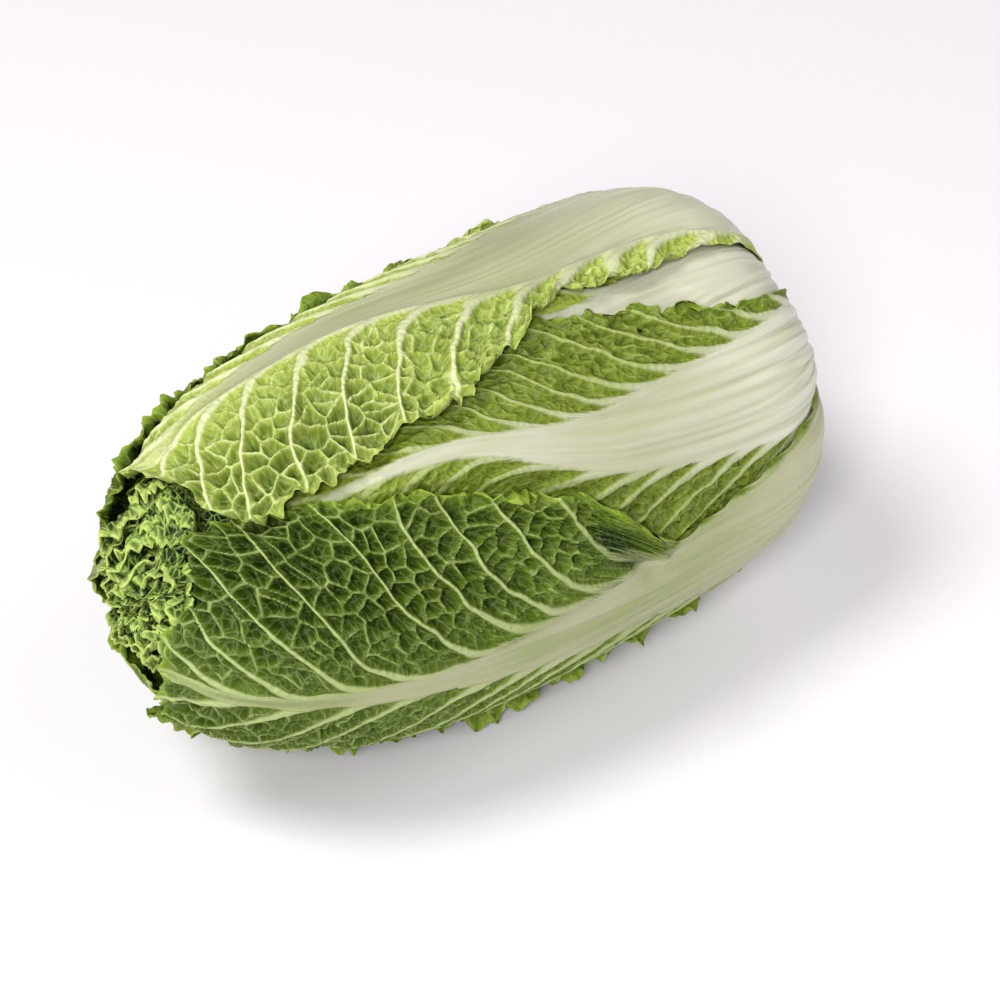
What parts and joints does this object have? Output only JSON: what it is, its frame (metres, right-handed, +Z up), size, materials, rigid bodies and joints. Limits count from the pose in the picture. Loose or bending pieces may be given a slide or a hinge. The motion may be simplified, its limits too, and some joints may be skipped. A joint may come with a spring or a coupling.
{
  "type": "napa cabbage",
  "caption": "Whole head of napa cabbage lying on its side: long crinkled leaves with broad white midribs wrapped tightly round a dense heart, with a frilly crown and a cut stem.",
  "frame": {"origin": "middle of the underside of the whole head's box, on the surface it lies on", "axes": "+X along the head from the leafy crown to the cut stem, +Z up; the pictured side faces -Y"},
  "size_m": [0.3024, 0.17, 0.1648],
  "materials": {
    "outer_leaf_back": "smooth waxy leaf: crisp, wet-looking white midrib, and a matt blistered green blade with pale raised veins and a frilled edge",
    "outer_leaf_top": "smooth waxy leaf: crisp, wet-looking white midrib, and a matt blistered green blade with pale raised veins and a frilled edge",
    "outer_leaf_front": "smooth waxy leaf: crisp, wet-looking white midrib, and a matt blistered green blade with pale raised veins and a frilled edge",
    "second_leaf_under": "smooth waxy leaf: crisp, wet-looking white midrib, and a matt blistered green blade with pale raised veins and a frilled edge",
    "second_leaf_front": "smooth waxy leaf: crisp, wet-looking white midrib, and a matt blistered green blade with pale raised veins and a frilled edge",
    "third_leaf_back": "smooth waxy leaf: crisp, wet-looking white midrib, and a matt blistered green blade with pale raised veins and a frilled edge",
    "third_leaf_top": "smooth waxy leaf: crisp, wet-looking white midrib, and a matt blistered green blade with pale raised veins and a frilled edge",
    "third_leaf_front": "smooth waxy leaf: crisp, wet-looking white midrib, and a matt blistered green blade with pale raised veins and a frilled edge",
    "third_leaf_under": "smooth waxy leaf: crisp, wet-looking white midrib, and a matt blistered green blade with pale raised veins and a frilled edge",
    "heart": "matt, finely frilled green leaf tips with pale edges",
    "stem": "moist, pale cream cut surface"
  },
  "bodies": {
    "root": {"outer_leaf_back": "outer_leaf_back", "outer_leaf_top": "outer_leaf_top", "outer_leaf_front": "outer_leaf_front", "second_leaf_under": "second_leaf_under", "second_leaf_front": "second_leaf_front", "third_leaf_back": "third_leaf_back", "third_leaf_top": "third_leaf_top", "third_leaf_front": "third_leaf_front", "third_leaf_under": "third_leaf_under", "heart": "heart", "stem": "stem"}
  },
  "joints": []
}
